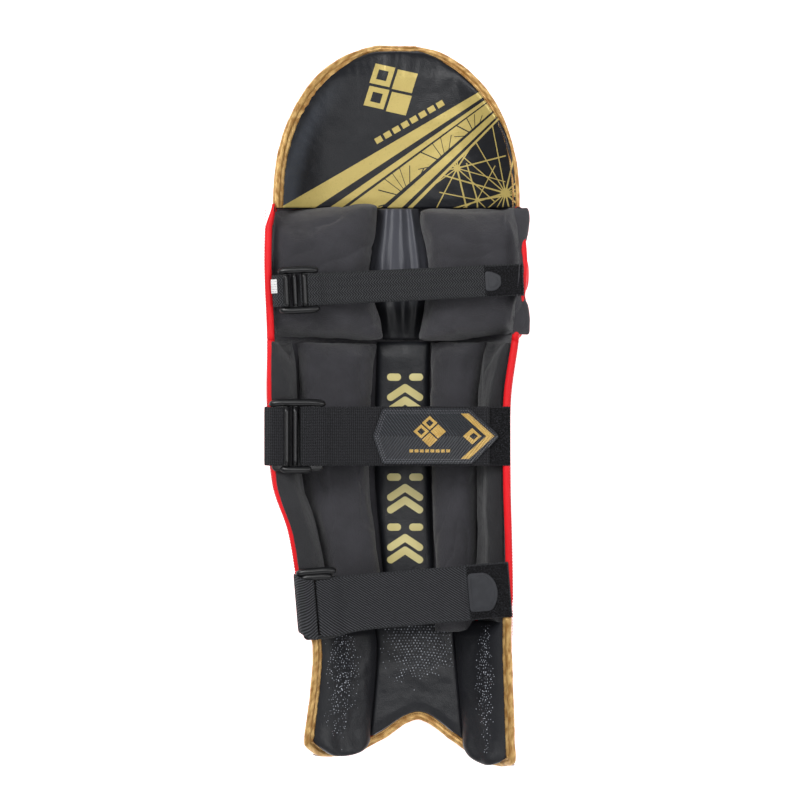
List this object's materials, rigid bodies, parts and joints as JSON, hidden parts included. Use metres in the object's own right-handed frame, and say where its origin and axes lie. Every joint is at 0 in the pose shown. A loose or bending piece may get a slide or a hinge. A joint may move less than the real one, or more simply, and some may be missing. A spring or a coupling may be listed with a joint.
{
  "type": "cricket batting pad",
  "caption": "Padded leg guard lying on its front: ribbed shin and rolled knee outside, cushioned hollow inside closed by straps with slide buckles, rounded flap over the knee.",
  "frame": {"origin": "middle of the underside of the pad's bounding box, on the floor it lies on", "axes": "+X to the inner side of a left leg, +Y from the foot wings up to the top flap, +Z from the front face up to the straps"},
  "size_m": [0.2742, 0.7484, 0.121],
  "materials": {
    "facing": "smooth red synthetic leather",
    "lining": "matt black cotton",
    "leather": "semi-gloss black synthetic leather with gold print",
    "gold": "satin gold binding",
    "webbing": "woven elastic webbing",
    "plastic": "satin moulded plastic",
    "rubber": "matt grey",
    "label": "white woven tape"
  },
  "bodies": {
    "root": {"shin_shell": "facing", "knee_shell": "facing", "top_flap": "facing", "shin_rib_1": "facing", "shin_rib_2": "facing", "shin_rib_3": "facing", "shin_rib_4": "facing", "shin_rib_5": "facing", "shin_rib_6": "facing", "shin_rib_7": "facing", "knee_roll_1": "facing", "knee_roll_2": "facing", "knee_roll_3": "facing", "side_lining_left": "lining", "side_lining_right": "lining", "shin_bolster_left": "lining", "shin_bolster_right": "lining", "knee_cushion_left": "lining", "knee_cushion_right": "lining", "knee_wing_edge": "lining", "shin_channel": "leather", "foot_panel_left": "leather", "foot_panel_middle": "leather", "foot_panel_right": "leather", "knee_cup": "leather", "flap_lining": "leather", "calf_strap_patch": "leather", "flap_piping": "gold", "foot_piping": "gold", "ankle_strap": "webbing", "calf_strap": "webbing", "knee_strap": "webbing", "ankle_anchor": "webbing", "calf_anchor": "webbing", "knee_anchor": "webbing", "ankle_anchor_tab": "webbing", "calf_anchor_tab": "webbing", "ankle_buckle": "plastic", "calf_buckle": "plastic", "knee_buckle": "plastic", "ankle_strap_tip": "rubber", "knee_strap_tip": "rubber", "size_label": "label"}
  },
  "joints": []
}
